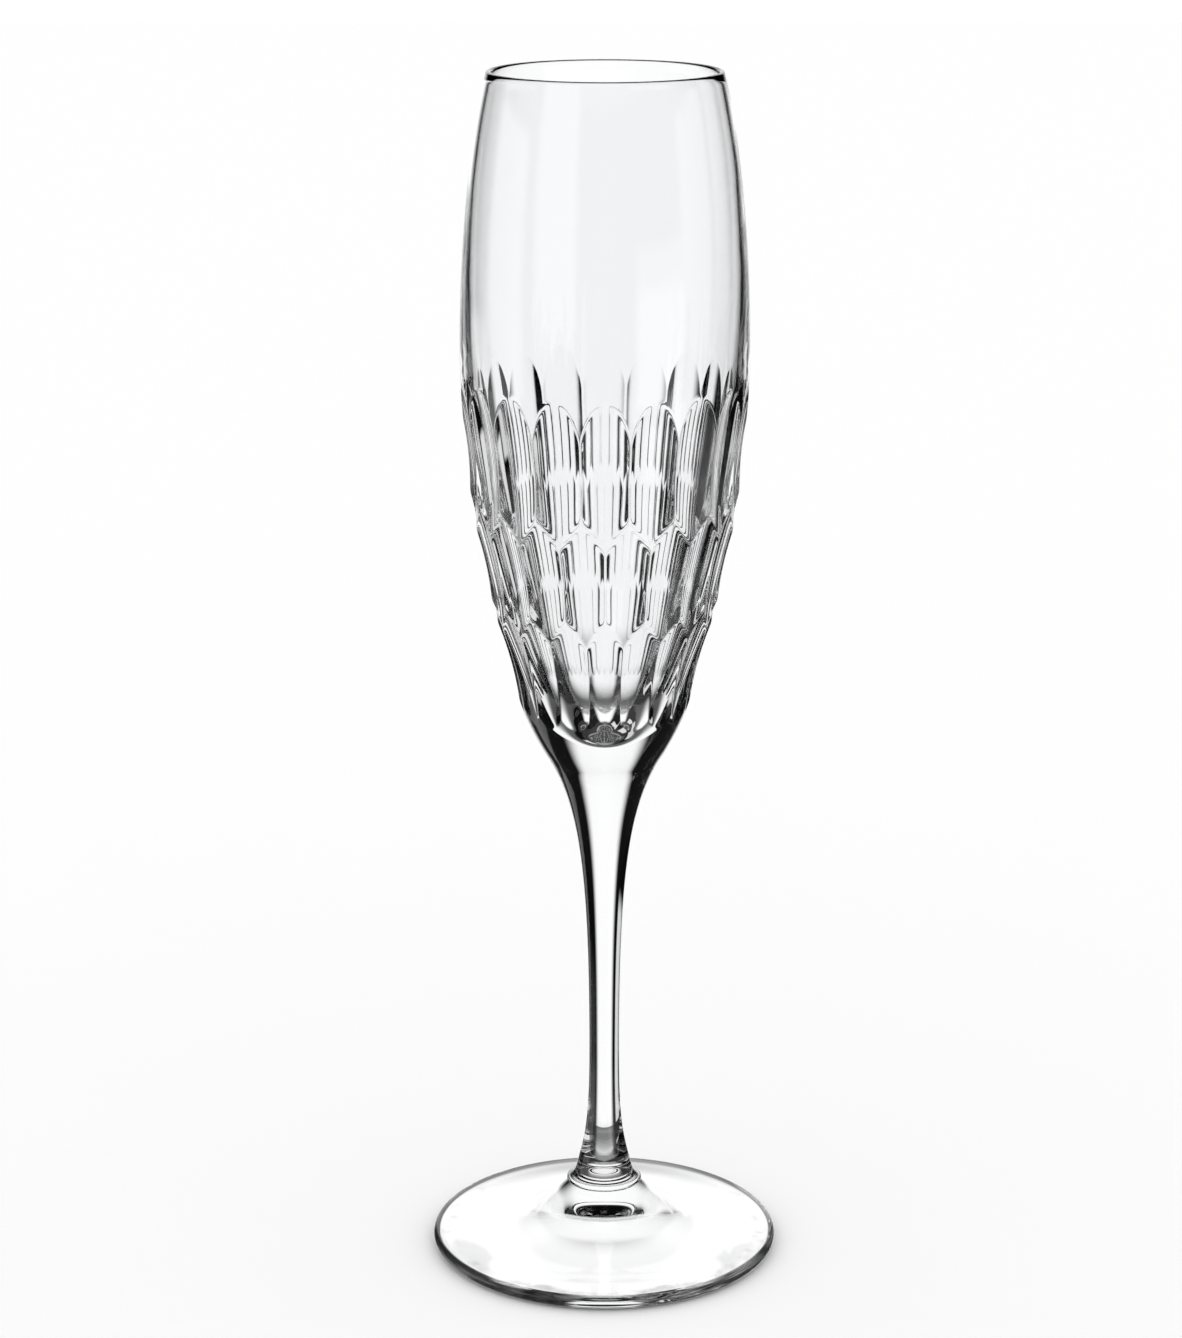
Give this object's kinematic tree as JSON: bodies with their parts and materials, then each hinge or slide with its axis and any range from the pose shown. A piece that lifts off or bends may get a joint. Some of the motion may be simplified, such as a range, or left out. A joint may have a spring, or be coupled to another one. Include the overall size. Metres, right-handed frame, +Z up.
{
  "type": "champagne flute",
  "caption": "Tall crystal champagne flute: tulip bowl with staggered rows of hollow wheel cuts, waisted solid stem and round foot.",
  "frame": {"origin": "centre of the foot's underside, on the surface that the flute stands on", "axes": "+Z up along the stem, towards the rim; the front of the flute faces -Y"},
  "size_m": [0.0706, 0.0706, 0.24],
  "materials": {
    "cut_crystal": "fire-polished inside and above, acid-polished wheel cuts below",
    "drawn_crystal": "fire-polished, with faint marks of drawing along it",
    "pressed_crystal": "fire-polished top, ground and polished resting ring"
  },
  "bodies": {
    "root": {"bowl": "cut_crystal", "stem": "drawn_crystal", "foot": "pressed_crystal"}
  },
  "joints": []
}
